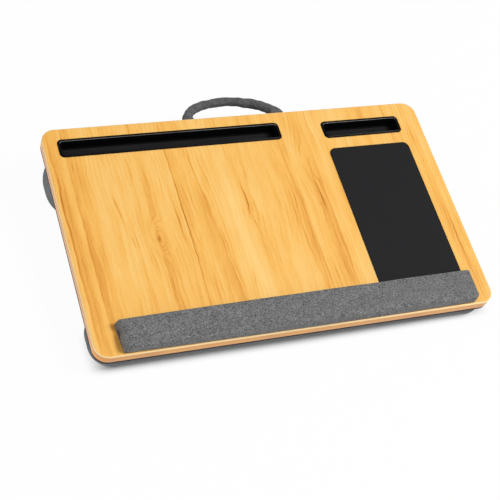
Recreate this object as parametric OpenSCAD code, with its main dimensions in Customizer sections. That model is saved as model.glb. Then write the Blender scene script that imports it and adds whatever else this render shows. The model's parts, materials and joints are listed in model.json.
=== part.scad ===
// Cushioned lap desk: a wood-grain deck with a tablet slot, a phone slot, a mouse pad,
// a padded wrist rest and a carry handle, standing on two bolsters. Sizes in millimetres.
// Pieces are drawn in the deck's own frame, with z = 0 on the deck's face, x to the right
// and y to the back. place() then leans the deck and stands the bolsters on z = 0.

/* [Deck] */
// Width of the deck, left to right
deck_w = 550; // [520:5:620]
// Depth of the deck, front to back
deck_d = 335; // [320:5:380]
// Thickness of the fibreboard core
core_t = 13.2; // [10:0.2:16]
// Thickness of the wood-grain laminate
laminate_t = 0.8; // [0.4:0.1:1.5]
// Thickness of the edge band
band_t = 2; // [1.6:0.1:3]
// Radius of the deck's corners
corner_r = 19; // [12:1:30]
// Chamfer along the edges of the edge band
arris = 1.4; // [0.5:0.1:1.5]
// Slope of the deck on its bolsters, in degrees
slope = 7; // [5:0.5:9]

/* [Device slots] */
// Overall width of a tray's rim, front to back
tray_d = 28.5; // [26:0.5:34]
// Overall length of the phone tray
phone_l = 121.5; // [100:0.5:140]
// Width of the rim that lies on the deck
rim_w = 4; // [3:0.5:5]
// Height of the rim above the deck
rim_t = 1.2; // [0.6:0.1:2]
// Radius of the rim's outer corners
rim_r = 6.5; // [5.5:0.5:9]
// Wall of a tray
tray_wall = 1.6; // [1.2:0.1:2]
// Thickness of a tray's floor
tray_floor_t = 1.8; // [1.2:0.1:2]
// Space between a tray's floor and the lining
tray_lift = 0.7; // [0.3:0.1:2]
// Play between a tray and the slot cut for it
tray_play = 0.3; // [0.1:0.1:0.6]
// Deck left of the tablet tray
tablet_left_margin = 19; // [15:1:40]
// Deck behind the tablet tray
tablet_back_margin = 17.5; // [12:0.5:25]
// Deck between the two trays
tray_spacing = 63.5; // [30:0.5:90]
// Deck right of the phone tray
phone_right_margin = 34; // [20:1:50]
// Deck behind the phone tray
phone_back_margin = 22.5; // [12:0.5:30]

/* [Mouse pad] */
// Width of the mouse pad
pad_w = 123.5; // [100:0.5:150]
// Thickness of the pad's smooth face
pad_face_t = 0.6; // [0.4:0.1:1]
// Thickness of the pad's rubber backing
pad_backing_t = 0.9; // [0.5:0.1:2]
// Radius of the pad's corners
pad_r = 9; // [4:0.5:14]
// Deck right of the pad
pad_right_margin = 33.5; // [20:0.5:50]
// Deck between the phone tray and the pad
pad_tray_gap = 18; // [6:0.5:30]
// Deck between the pad and the wrist rest
pad_rest_gap = 1.5; // [1:0.5:20]

/* [Wrist rest] */
// Depth of the wrist rest, front to back
rest_d = 40; // [36:1:60]
// Height of the wrist rest above the deck
rest_h = 14.5; // [12:0.5:22]
// Radius of the wrist rest's corners, seen from above
rest_r = 8; // [6:0.5:14]
// Deck left of the wrist rest
rest_left_margin = 32; // [20:1:60]
// Deck right of the wrist rest
rest_right_margin = 27; // [20:1:60]
// Deck in front of the wrist rest
rest_front_margin = 3; // [2:0.5:15]
// Thickness of the wrist rest's fabric
rest_fabric_t = 1.2; // [0.8:0.1:2]
// Thickness of the wrist rest's stiff base strip
rest_base_t = 2; // [1:0.5:3]
// Thickness of the adhesive tape under the base strip
rest_tape_t = 0.8; // [0.4:0.1:1.5]

/* [Bolsters] */
// Depth of the rear bolster, front to back
rear_bolster_d = 100; // [92:2:130]
// Depth of the front bolster, front to back
front_bolster_d = 76; // [70:2:95]
// Drop of the front bolster under its middle
front_drop = 29; // [22:1:45]
// Radius of the rear bolster's corners, seen from above
rear_bolster_r = 42; // [34:1:44]
// Radius of the front bolster's corners, seen from above
front_bolster_r = 30; // [22:1:33]
// Deck outside each end of the bolsters
bolster_end_margin = 1; // [0.5:0.5:12]
// Deck behind the rear bolster
rear_bolster_margin = 9; // [6:1:20]
// Deck in front of the front bolster
front_bolster_margin = 1.5; // [1:0.5:10]
// Thickness of the bolsters' fabric
bolster_fabric_t = 1.4; // [1:0.1:2]

/* [Underside] */
// Thickness of the hardboard backing
backing_t = 4; // [3.5:0.5:6]
// Thickness of the lining that wraps the backing
lining_t = 1; // [0.6:0.1:1.5]
// Setback of the lining from the deck's edge
lining_setback = 0.3; // [0.2:0.1:4]
// Spacing of the base screws, left to right
screw_spacing_x = 200; // [150:5:220]
// Spacing of the base screws, front to back
screw_spacing_y = 56; // [40:2:64]
// Radius of the screws' shanks
shank_r = 1.75; // [1.5:0.05:2]
// Core left above a screw's tip
screw_cover = 3.2; // [2:0.2:4]

/* [Handle] */
// Distance between the handle's two ends
handle_span = 134; // [110:2:160]
// Reach of the handle's middle from its hinge line
handle_reach = 50; // [40:1:60]
// Radius of the padded handle
handle_r = 6.5; // [5.5:0.25:8]
// Thickness of the handle's fabric
handle_fabric_t = 1.4; // [1:0.1:2]
// Droop of the handle below the deck's plane, in degrees
handle_droop = 27; // [20:1:40]
// Offset of the handle to the right of the deck's middle
handle_x = 4; // [-20:1:20]
// Width of the fabric tab at each end
tab_w = 20; // [16:1:26]
// Thickness of the fabric tab
tab_t = 1.4; // [1:0.1:1.6]
// Board left between a tray's slot and the pocket for a tab
tab_wall = 3; // [2:0.5:5]

/* [Hidden] */
$fn = 48;

// Colours
wood_colour = [0.93, 0.70, 0.36];
fibre_colour = [0.62, 0.47, 0.31];
black_colour = [0.05, 0.05, 0.055];
rubber_colour = [0.10, 0.10, 0.10];
pad_colour = [0.17, 0.17, 0.18];
rest_colour = [0.45, 0.45, 0.45];
cushion_colour = [0.40, 0.41, 0.42];
lining_colour = [0.22, 0.21, 0.21];
fill_colour = [0.92, 0.91, 0.88];
foam_colour = [0.86, 0.82, 0.62];
steel_colour = [0.72, 0.73, 0.74];

// Clearances
soft_gap = 0.4;
foam_gap = 0.6;
hinge_gap = 0.3;
hole_gap = 0.05;
cut = 1;

// Deck levels and edges
half_w = deck_w / 2;
half_d = deck_d / 2;
deck_t = core_t + laminate_t;
backing_bottom = -deck_t - backing_t;
lining_bottom = backing_bottom - lining_t;
backing_setback = lining_setback + lining_t;

// Wrist rest
rest_left = -half_w + rest_left_margin;
rest_right = half_w - rest_right_margin;
rest_front = -half_d + rest_front_margin;
rest_back = rest_front + rest_d;
rest_mid = [(rest_left + rest_right) / 2, (rest_front + rest_back) / 2];
rest_half = [(rest_right - rest_left) / 2, rest_d / 2];
rest_foot_inset = 1.5;
rest_shoulder = 7;
rest_crown = 1.2;
rest_spine = 2;
rest_bulge = 0.8;

// Trays
phone_right = half_w - phone_right_margin;
phone_left = phone_right - phone_l;
tablet_left = -half_w + tablet_left_margin;
tablet_right = phone_left - tray_spacing;
tablet_l = tablet_right - tablet_left;
tablet_at = [(tablet_left + tablet_right) / 2, half_d - tablet_back_margin - tray_d / 2];
phone_at = [(phone_left + phone_right) / 2, half_d - phone_back_margin - tray_d / 2];
slot_r = max(rim_r - rim_w, 1.5);
tray_bottom = backing_bottom + tray_lift;
tray_floor = tray_bottom + tray_floor_t;

// Mouse pad
pad_right = half_w - pad_right_margin;
pad_back = phone_at[1] - tray_d / 2 - pad_tray_gap;
pad_front = rest_back + pad_rest_gap;
pad_size = [pad_w, pad_back - pad_front];
pad_at = [pad_right - pad_w / 2, (pad_back + pad_front) / 2];

// Bolsters: middle, half size and corner radius of each, seen from above
bolster_half_w = half_w - bolster_end_margin;
rear_half = [bolster_half_w, rear_bolster_d / 2];
rear_mid = [0, half_d - rear_bolster_margin - rear_half[1]];
front_half = [bolster_half_w, front_bolster_d / 2];
front_mid = [0, -half_d + front_bolster_margin + front_half[1]];
bolster_foot_inset = 8;
rear_shoulder = 30;
front_shoulder = 17;
rear_draw_in = 5;
front_draw_in = 3;

// Floor under the bolsters: its level in the deck's frame rises to the front
function floor_at(y) = lining_bottom - front_drop - (y - front_mid[1]) * tan(slope);

// Handle: tabs in the board behind the slots, hinge line, and the sewn end from there to the tube
slot_setback = min(tablet_back_margin, phone_back_margin) + rim_w - tray_wall - tray_play;
tab_l = slot_setback - tab_wall - soft_gap;
handle_clear = 1;
hinge_y = half_d + handle_r + handle_clear;
hinge_z = -deck_t - tab_t / 2;
roll_r = 2.2;
handle_end_l = 7;
handle_end_t = 7;
handle_lean = 0.3;

// Screws, washers and staples
head_r = 3.2;
head_t = 1.4;
washer_r = 4.8;
washer_t = 0.5;
fastener_sides = 12;
screw_bite = core_t - screw_cover;
staple_crown = 9;
staple_wire = 0.8;
staple_leg = 3;
staple_edge = 4;
staple_pitch = 40;

// Where the frame's origin lies: under the middle of the whole object
front_reach = -half_d * cos(slope) + arris * sin(slope);
back_reach = hinge_y * cos(slope) - hinge_z * sin(slope)
  + handle_reach * cos(handle_droop - slope) + handle_r;

module place()
  translate([0, -(front_reach + back_reach) / 2, -floor_at(0) * cos(slope)])
    rotate([slope, 0, 0]) children();

module place_handle()
  place() translate([handle_x, hinge_y, hinge_z]) rotate([-handle_droop, 0, 0]) children();

// Flat outlines

// Rectangle of size [w, d] with round corners, about its middle
module plate(size, r) {
  square([size[0] - 2 * r, size[1]], center = true);
  square([size[0], size[1] - 2 * r], center = true);
  for (x = [-1, 1], y = [-1, 1])
    translate([x * (size[0] / 2 - r), y * (size[1] / 2 - r)]) circle(r);
}

module deck_plate(inset) plate([deck_w - 2 * inset, deck_d - 2 * inset], corner_r - inset);

// Opening for a tray of length l, with its play
module tray_slot(l) {
  grow = tray_wall + tray_play - rim_w;
  plate([l + 2 * grow, tray_d + 2 * grow], slot_r + tray_wall + tray_play);
}

module both_slots() {
  translate(tablet_at) tray_slot(tablet_l);
  translate(phone_at) tray_slot(phone_l);
}

module at_level(bottom, top) translate([0, 0, bottom]) linear_extrude(top - bottom) children();

// Lofted forms

// Faces between m rings of n points, with caps, or joined end to end when looped
function loft_faces(n, m, looped) = concat(
  [for (j = [0 : m - (looped ? 1 : 2)], i = [0 : n - 1])
    let (k = (i + 1) % n, up = ((j + 1) % m) * n) each
      [[j * n + i, up + i, up + k], [j * n + i, up + k, j * n + k]]],
  looped ? [] : [for (i = [0 : n / 2 - 2]) each
    [[i, i + 1, n - 2 - i], [i, n - 2 - i, n - 1 - i]]],
  looped ? [] : [for (i = [0 : n / 2 - 2], last = [(m - 1) * n]) each
    [[last + i, last + n - 2 - i, last + i + 1],
     [last + i, last + n - 1 - i, last + n - 2 - i]]]);

module loft(rings, looped = false)
  polyhedron([for (ring = rings) each ring], loft_faces(len(rings[0]), len(rings), looped));

// Cushion outline of half size h with corner radius r, its long sides drawn in between the corners
arc_steps = 5;
side_steps = 10;
function back_half(h, r, draw_in) = concat(
  [for (i = [0 : arc_steps]) let (w = 90 * i / arc_steps)
    [h[0] - r + r * cos(w), h[1] - r + r * sin(w)]],
  [for (i = [1 : side_steps - 1]) let (x = 1 - 2 * i / side_steps)
    [x * (h[0] - r), h[1] - draw_in * (1 - x * x)]],
  [for (i = [0 : arc_steps]) let (w = 90 + 90 * i / arc_steps)
    [r - h[0] + r * cos(w), h[1] - r + r * sin(w)]]);
function cushion_outline(h, r, draw_in) = let (back = back_half(h, r, draw_in))
  concat(back, [for (i = [len(back) - 1 : -1 : 0]) [back[i][0], -back[i][1]]]);
function inset_outline(h, r, draw_in, inset) =
  cushion_outline([h[0] - inset, h[1] - inset], max(r - inset, 1), draw_in);

// A cushion's side swells from its foot and turns over a shoulder: how far it is drawn in, and its
// share of the full height, at angle w round that curve
foot_angle = 60;
ring_steps = 7;
function swell_inset(w, foot, shoulder) =
  w < 0 ? foot * (1 - cos(w)) / (1 - cos(foot_angle)) : shoulder * (1 - cos(w));
function swell_share(w) = (sin(w) + sin(foot_angle)) / (1 + sin(foot_angle));
swell_angles = [for (i = [0 : ring_steps]) -foot_angle + (90 + foot_angle) * i / ring_steps];

// Rings of a bolster from its flat base up to the lining, with its skin taken in by `skin`
function bolster_rings(mid, half, r, shoulder, draw_in, skin) =
  [for (i = [ring_steps : -1 : 0]) let (w = swell_angles[i])
    [for (p = inset_outline(half, r, draw_in, skin + swell_inset(w, bolster_foot_inset, shoulder)))
      let (y = mid[1] + p[1], drop = floor_at(y) + skin - lining_bottom)
        [mid[0] + p[0], y, lining_bottom + drop * swell_share(w)]]];

module bolster_cover(mid, half, r, shoulder, draw_in) {
  outer = bolster_rings(mid, half, r, shoulder, draw_in, 0);
  inner = bolster_rings(mid, half, r, shoulder, draw_in, bolster_fabric_t);
  place() loft(concat(outer, [for (i = [ring_steps : -1 : 0]) inner[i]]));
}

module bolster_fill(mid, half, r, shoulder, draw_in)
  place() loft(bolster_rings(mid, half, r, shoulder, draw_in, bolster_fabric_t + soft_gap));

// Rings of the wrist rest from `bottom` up to its crown, with its skin taken in by `skin`
crown_steps = 2;
function rest_ring(inset, z) =
  [for (p = inset_outline(rest_half, rest_r, -rest_bulge, inset))
    [rest_mid[0] + p[0], rest_mid[1] + p[1], z]];
function rest_rings(bottom, skin) =
  let (top = rest_h - skin, side_top = top - rest_crown,
    flat = rest_half[1] - rest_shoulder - rest_spine - skin)
  concat(
    [for (w = swell_angles)
      rest_ring(skin + swell_inset(w, rest_foot_inset, rest_shoulder),
        bottom + (side_top - bottom) * swell_share(w))],
    [for (i = [1 : crown_steps]) let (k = i / crown_steps)
      rest_ring(skin + rest_shoulder + flat * k, top - rest_crown * pow(1 - k, 2))]);

// Deck

module core_board() color(fibre_colour) place() difference() {
  at_level(-deck_t, -laminate_t) difference() {
    deck_plate(band_t);
    both_slots();
  }
  for (at = base_screw_places) pilot_hole(at);
  for (at = tab_screw_places) pilot_hole(at);
}

module deck_laminate() color(wood_colour) place() at_level(-laminate_t, 0) difference() {
  deck_plate(band_t);
  both_slots();
}

module edge_band() color(wood_colour) place() difference() {
  hull() {
    at_level(-deck_t + arris, -arris) deck_plate(0);
    at_level(-deck_t, 0) deck_plate(arris);
  }
  at_level(-deck_t - cut, cut) deck_plate(band_t);
}

// Device trays

module tray(l) difference() {
  union() {
    at_level(0, rim_t) plate([l, tray_d], rim_r);
    at_level(tray_bottom, rim_t)
      plate([l - 2 * (rim_w - tray_wall), tray_d - 2 * (rim_w - tray_wall)], slot_r + tray_wall);
  }
  at_level(tray_floor, rim_t + cut) plate([l - 2 * rim_w, tray_d - 2 * rim_w], slot_r);
}

module tablet_tray() color(black_colour) place() translate(tablet_at) tray(tablet_l);
module phone_tray() color(black_colour) place() translate(phone_at) tray(phone_l);

// Mouse pad

module mouse_pad_backing() color(rubber_colour) place() translate(pad_at)
  at_level(0, pad_backing_t) plate(pad_size, pad_r);

module mouse_pad_face() color(pad_colour) place() translate(pad_at)
  at_level(pad_backing_t, pad_backing_t + pad_face_t) plate(pad_size, pad_r);

// Wrist rest

rest_strip_inset = rest_foot_inset + rest_fabric_t + soft_gap;
module rest_strip(inset, bottom, top) translate(rest_mid) at_level(bottom, top)
  plate([2 * (rest_half[0] - inset), 2 * (rest_half[1] - inset)], rest_r - inset);

module wrist_rest_tape() color(fill_colour) place() rest_strip(rest_strip_inset, 0, rest_tape_t);

module wrist_rest_base() color(rubber_colour) place()
  rest_strip(rest_strip_inset, rest_tape_t, rest_tape_t + rest_base_t);

module wrist_rest_foam() color(foam_colour) place()
  loft(rest_rings(rest_tape_t + rest_base_t, rest_fabric_t + foam_gap));

module wrist_rest_cover() color(rest_colour) place() {
  outer = rest_rings(0, 0);
  inner = rest_rings(0, rest_fabric_t);
  loft(concat([for (i = [len(inner) - 1 : -1 : 0]) inner[i]], outer));
}

// Underside

valley_y = (rear_mid[1] - rear_half[1] + front_mid[1] + front_half[1]) / 2;
base_screw_places = [for (x = [-1, 0, 1], y = [-0.5, 0.5])
  [x * screw_spacing_x, valley_y + y * screw_spacing_y]];

function tab_x(side) = handle_x + side * handle_span / 2;
function tab_screw_place(side) = [tab_x(side), half_d - tab_l / 2];
tab_screw_places = [tab_screw_place(-1), tab_screw_place(1)];

module pilot_hole(at) translate([at[0], at[1], -deck_t - cut])
  cylinder(h = screw_bite + cut, r = shank_r + hole_gap);

module shank_hole(at) translate([at[0], at[1], lining_bottom - cut])
  cylinder(h = backing_t + lining_t + 2 * cut, r = shank_r + hole_gap);

// Pocket in the backing for a handle tab with its screws, open to the back
module tab_pocket(side) {
  pocket_w = tab_w + 2 * soft_gap;
  translate([tab_x(side) - pocket_w / 2, half_d - tab_l - soft_gap, backing_bottom - cut])
    cube([pocket_w, tab_l + 2 * cut, backing_t + 2 * cut]);
}

module backing_board() color(fibre_colour) place() difference() {
  at_level(backing_bottom, -deck_t) difference() {
    deck_plate(backing_setback);
    both_slots();
  }
  for (side = [-1, 1]) tab_pocket(side);
  for (at = base_screw_places) shank_hole(at);
}

module underside_lining() color(lining_colour) place() difference() {
  at_level(lining_bottom, -deck_t) deck_plate(lining_setback);
  at_level(backing_bottom, -deck_t + cut) deck_plate(backing_setback);
  for (side = [-1, 1]) tab_window(side);
  for (at = base_screw_places) shank_hole(at, $fn = fastener_sides);
}

// Window in the lining's back wall where a handle tab comes out
module tab_window(side) {
  window_w = tab_w + 2 * soft_gap;
  window_t = tab_t + soft_gap;
  translate([tab_x(side) - window_w / 2, half_d - backing_setback - cut, -deck_t - window_t])
    cube([window_w, backing_setback + 2 * cut, window_t + cut]);
}

// Pan-head screw with its head's seat at level z
module screw(at, seat, $fn = fastener_sides) translate([at[0], at[1], 0]) {
  translate([0, 0, seat - head_t]) cylinder(h = head_t, r = head_r);
  translate([0, 0, seat]) cylinder(h = -deck_t + screw_bite - hole_gap - seat, r = shank_r);
}

module washer(at, top, $fn = fastener_sides) translate([at[0], at[1], top - washer_t]) difference() {
  cylinder(h = washer_t, r = washer_r);
  translate([0, 0, -cut]) cylinder(h = washer_t + 2 * cut, r = shank_r + hole_gap);
}

module base_screws() color(steel_colour) place()
  for (at = base_screw_places) screw(at, lining_bottom - washer_t);

module base_washers() color(steel_colour) place()
  for (at = base_screw_places) washer(at, lining_bottom);

// Staples through the lining into the edge of the backing, their crowns along the edge
staple_line = [half_w - lining_setback - staple_edge, half_d - lining_setback - staple_edge];
function staple_run(half, r) = let (n = floor(2 * (half - r) / staple_pitch))
  [for (i = [0 : n]) (i - n / 2) * staple_pitch];

module staple() {
  translate([-staple_crown / 2, -staple_wire / 2, lining_bottom - staple_wire])
    cube([staple_crown, staple_wire, staple_wire]);
  for (x = [0, staple_crown - staple_wire])
    translate([x - staple_crown / 2, -staple_wire / 2, lining_bottom])
      cube([staple_wire, staple_wire, staple_leg]);
}

module hem_staples() color(steel_colour) place() {
  for (x = staple_run(staple_line[0], corner_r), y = [-1, 1])
    translate([x, y * staple_line[1], 0]) staple();
  for (y = staple_run(staple_line[1], corner_r), x = [-1, 1])
    translate([x * staple_line[0], y, 0]) rotate([0, 0, 90]) staple();
}

// Bolsters

module rear_bolster_cover() color(cushion_colour)
  bolster_cover(rear_mid, rear_half, rear_bolster_r, rear_shoulder, rear_draw_in);
module rear_bolster_fill() color(fill_colour)
  bolster_fill(rear_mid, rear_half, rear_bolster_r, rear_shoulder, rear_draw_in);
module front_bolster_cover() color(cushion_colour)
  bolster_cover(front_mid, front_half, front_bolster_r, front_shoulder, front_draw_in);
module front_bolster_fill() color(fill_colour)
  bolster_fill(front_mid, front_half, front_bolster_r, front_shoulder, front_draw_in);

// Carry handle

// Tab under the deck, ending in a rolled hem on the hinge line
module handle_tab(side) color(cushion_colour) place() difference() {
  union() {
    translate([tab_x(side) - tab_w / 2, half_d - tab_l, -deck_t - tab_t])
      cube([tab_w, tab_l + hinge_y - half_d, tab_t]);
    translate([tab_x(side) - tab_w / 2, hinge_y, hinge_z]) rotate([0, 90, 0])
      cylinder(h = tab_w, r = roll_r);
  }
  shank_hole(tab_screw_place(side));
}

module handle_tab_left() handle_tab(-1);
module handle_tab_right() handle_tab(1);

module handle_screws() color(steel_colour) place()
  for (at = tab_screw_places) screw(at, -deck_t - tab_t - washer_t);

module handle_washers() color(steel_colour) place()
  for (at = tab_screw_places) washer(at, -deck_t - tab_t);

// Flat sewn end of the handle, hollowed to turn round the tab's rolled hem
module handle_end(side) color(cushion_colour) place_handle()
  translate([side * handle_span / 2 - tab_w / 2, 0, 0]) difference() {
    translate([0, roll_r / 2, -handle_end_t / 2]) cube([tab_w, handle_end_l - roll_r / 2, handle_end_t]);
    rotate([0, 90, 0]) translate([0, 0, -cut]) cylinder(h = tab_w + 2 * cut, r = roll_r + hinge_gap);
  }

module handle_end_left() handle_end(-1);
module handle_end_right() handle_end(1);

// Line of the padded tube in the handle's plane: a Bezier arch from end to end
tube_sides = 10;
tube_rings = 24;
arch = let (s = handle_span / 2, rise = 4 / 3 * (handle_reach - handle_end_l))
  [[-s, handle_end_l], [-s * (1 - handle_lean), handle_end_l + rise],
   [s * (1 - handle_lean), handle_end_l + rise], [s, handle_end_l]];
function arch_at(t) = let (u = 1 - t)
  u * u * u * arch[0] + 3 * u * u * t * arch[1] + 3 * u * t * t * arch[2] + t * t * t * arch[3];
function arch_way(t) = let (u = 1 - t)
  u * u * (arch[1] - arch[0]) + 2 * u * t * (arch[2] - arch[1]) + t * t * (arch[3] - arch[2]);
// Direction of the tube, square to the sewn ends where it meets them
function tube_way(i) = i == 0 ? [0, 1] : i == tube_rings ? [0, -1]
  : let (d = arch_way(i / tube_rings)) d / norm(d);
function tube_ring(i, r) = let (p = arch_at(i / tube_rings), d = tube_way(i))
  [for (k = [0 : tube_sides - 1]) let (w = 360 * (k + 0.5) / tube_sides)
    [p[0] - d[1] * r * cos(w), p[1] + d[0] * r * cos(w), r * sin(w)]];

module handle_sleeve() color(cushion_colour) place_handle() loft(concat(
  [for (i = [0 : tube_rings]) tube_ring(i, handle_r)],
  [for (i = [tube_rings : -1 : 0]) tube_ring(i, handle_r - handle_fabric_t)]), looped = true);

module handle_core() color(foam_colour) place_handle()
  loft([for (i = [0 : tube_rings]) tube_ring(i, handle_r - handle_fabric_t - soft_gap)]);

core_board();
deck_laminate();
edge_band();
tablet_tray();
phone_tray();
mouse_pad_face();
mouse_pad_backing();
wrist_rest_cover();
wrist_rest_foam();
wrist_rest_base();
wrist_rest_tape();
backing_board();
underside_lining();
hem_staples();
base_screws();
base_washers();
rear_bolster_cover();
rear_bolster_fill();
front_bolster_cover();
front_bolster_fill();
handle_tab_left();
handle_tab_right();
handle_screws();
handle_washers();
handle_end_left();
handle_end_right();
handle_sleeve();
handle_core();
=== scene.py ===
"""Dresses a cushioned lap desk: its finishes, soft covers, trays and fittings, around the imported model."""
import json
import math

import bmesh
import bpy
from bpy.props import FloatProperty, FloatVectorProperty, PointerProperty
from mathutils import Matrix, Vector, noise


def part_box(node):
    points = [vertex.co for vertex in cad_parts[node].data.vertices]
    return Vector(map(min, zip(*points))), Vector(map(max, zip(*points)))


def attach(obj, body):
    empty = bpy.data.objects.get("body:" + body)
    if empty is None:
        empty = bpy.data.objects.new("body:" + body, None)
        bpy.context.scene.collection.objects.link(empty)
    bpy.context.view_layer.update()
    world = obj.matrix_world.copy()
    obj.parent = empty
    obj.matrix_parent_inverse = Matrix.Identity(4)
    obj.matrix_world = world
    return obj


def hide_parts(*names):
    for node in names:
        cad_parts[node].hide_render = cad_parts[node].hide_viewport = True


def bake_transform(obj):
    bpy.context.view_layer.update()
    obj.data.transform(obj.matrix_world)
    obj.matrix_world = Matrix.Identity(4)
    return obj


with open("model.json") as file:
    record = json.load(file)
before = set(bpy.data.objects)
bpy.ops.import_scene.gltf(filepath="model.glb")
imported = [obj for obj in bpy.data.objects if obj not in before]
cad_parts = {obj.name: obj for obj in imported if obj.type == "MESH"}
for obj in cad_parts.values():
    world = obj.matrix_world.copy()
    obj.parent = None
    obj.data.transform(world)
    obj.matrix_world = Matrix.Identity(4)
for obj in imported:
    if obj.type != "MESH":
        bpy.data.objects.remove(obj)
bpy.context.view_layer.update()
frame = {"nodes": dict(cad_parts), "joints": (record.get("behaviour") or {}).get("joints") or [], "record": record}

bl_info = {
    "name": "Cushioned Lap Desk",
    "version": (1, 0, 0),
    "blender": (4, 5, 0),
    "location": "3D View > Sidebar > Lap Desk",
    "description": "Builds the finishes, soft covers, trays and fittings of a cushioned lap desk",
    "category": "Object",
}

MM = 0.001


# Places

def deck_matrix():
    """Takes the deck's own frame, x to the right, y to the back and z = 0 on its face, to the model's."""
    mount = next(m for m in frame["record"]["mounts"] if m["name"] == "deck_face")
    up = Vector(mount["axis"]).normalized()
    right = Vector((1, 0, 0))
    turn = Matrix((right, up.cross(right), up)).transposed().to_4x4()
    return Matrix.Translation((0, mount["pos_m"][1], mount["pos_m"][2])) @ turn


DECK = deck_matrix()
TO_DECK = DECK.inverted()
# Middle of the handle's hinge line, in the deck's frame
HINGE = TO_DECK @ Vector(next(j for j in frame["joints"] if j["name"] == "handle_swing")["pos_m"])


def handle_matrix():
    """Takes the handle's own frame, x along its hinge and y out along its plane, to the model's."""
    spots = [TO_DECK @ v.co - HINGE for v in frame["nodes"]["handle_sleeve"].data.vertices]
    droop = math.atan2(sum(p.z for p in spots), sum(p.y for p in spots))
    return DECK @ Matrix.Translation(HINGE) @ Matrix.Rotation(droop, 4, "X")


HANDLE = handle_matrix()


def node_box(node, frame_matrix=TO_DECK):
    """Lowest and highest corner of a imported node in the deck's frame, or in another one."""
    points = [frame_matrix @ v.co for v in frame["nodes"][node].data.vertices]
    low = Vector(min(p[i] for p in points) for i in range(3))
    high = Vector(max(p[i] for p in points) for i in range(3))
    return low, high


def middle_and_half(node):
    """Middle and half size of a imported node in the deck's frame."""
    low, high = node_box(node)
    return (low + high) / 2, (high - low) / 2


def floor_level(y):
    """Level of the surface that the desk stands on, in the deck's frame."""
    return -(DECK[2][3] + DECK[2][1] * y) / DECK[2][2]


DECK_MIDDLE, DECK_HALF = middle_and_half("edge_band")
LINING_BOTTOM = node_box("underside_lining")[0].z
FRONT_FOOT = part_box("front_bolster_cover")[0].y

# For the trays' finish, in millimetres: the level of their underside, the phone tray's middle from front to
# back, the step from there to the tablet tray's, and the middle of the gap between the two
TRAY_BOTTOM = node_box("tablet_tray")[0].z / MM
TRAY_MIDDLE = middle_and_half("phone_tray")[0].y / MM
TRAY_STEP = middle_and_half("tablet_tray")[0].y / MM - TRAY_MIDDLE
TRAY_GAP = (node_box("tablet_tray")[1].x + node_box("phone_tray")[0].x) / 2 / MM


# Settings

def srgb(*levels):
    """A linear colour from display levels of 0 to 255."""
    shares = [level / 255 for level in levels]
    return tuple(v / 12.92 if v < 0.04045 else ((v + 0.055) / 1.055) ** 2.4 for v in shares)


def toned(tint, share):
    """The same tint, darker with a share below 1 and paler with one above it."""
    return [min(share * v, 1) for v in tint]


def length(name, description, default):
    """A size, with its default in millimetres."""
    return FloatProperty(
        name=name, description=description, default=default * MM, unit="LENGTH", precision=4
    )


def colour(name, description, *levels):
    """A colour, with its default in display levels."""
    return FloatVectorProperty(
        name=name, description=description, default=srgb(*levels), subtype="COLOR", size=3, min=0, max=1
    )


def spot(name, description, *default):
    """A place in the deck's frame, in metres."""
    return FloatVectorProperty(
        name=name, description=description, default=default, subtype="XYZ", size=3, unit="LENGTH"
    )


class LapDeskSizes(bpy.types.PropertyGroup):
    """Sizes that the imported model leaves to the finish"""

    corner_radius: length("Deck corner", "Radius of the deck's corners seen from above", 19)
    band_depth: length("Edge band", "Depth of the edge band into the deck", 2)
    arris: length("Arris", "Eased edge along the top and bottom of the band", 1.4)
    rim_width: length("Tray rim", "Width of a tray's rim on the deck", 4)
    rim_radius: length("Rim corner", "Radius of a tray rim's corners", 6.5)
    tray_wall: length("Tray wall", "Wall of a tray", 1.6)
    tray_floor: length("Tray floor", "Thickness of a tray's floor", 1.8)
    pad_radius: length("Pad corner", "Radius of the mouse pad's back corners", 9)
    pad_front_radius: length("Pad front corner", "Radius of the mouse pad's corners by the wrist rest", 3)
    rest_shoulder: length("Wrist rest edge", "Rounding of the wrist rest's upper edges", 2.8)
    rest_crown: length("Wrist rest crown", "Rise of the wrist rest's middle", 0.7)
    rest_bulge: length("Wrist rest bulge", "How far the wrist rest's long sides swell in the middle", 0.8)
    rear_radius: length("Rear bolster corner", "Radius of the rear bolster's corners", 42)
    rear_shoulder: length("Rear bolster shoulder", "Rounding above the rear bolster's base", 30)
    rear_draw_in: length("Rear bolster waist", "How far the rear bolster's long sides draw in", 5)
    front_radius: length("Front bolster corner", "Radius of the front bolster's corners", 30)
    front_shoulder: length("Front bolster shoulder", "Rounding above the front bolster's base", 17)
    front_draw_in: length("Front bolster waist", "How far the front bolster's long sides draw in", 3)
    sewn_inset: length("Sewn rim", "How far a bolster draws in to its sewn rim", 8)
    swell: length("Swell", "Furthest that stuffing swells a bolster's cover", 1.6)
    handle_radius: length("Handle radius", "Radius of the padded handle", 6.5)


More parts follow.
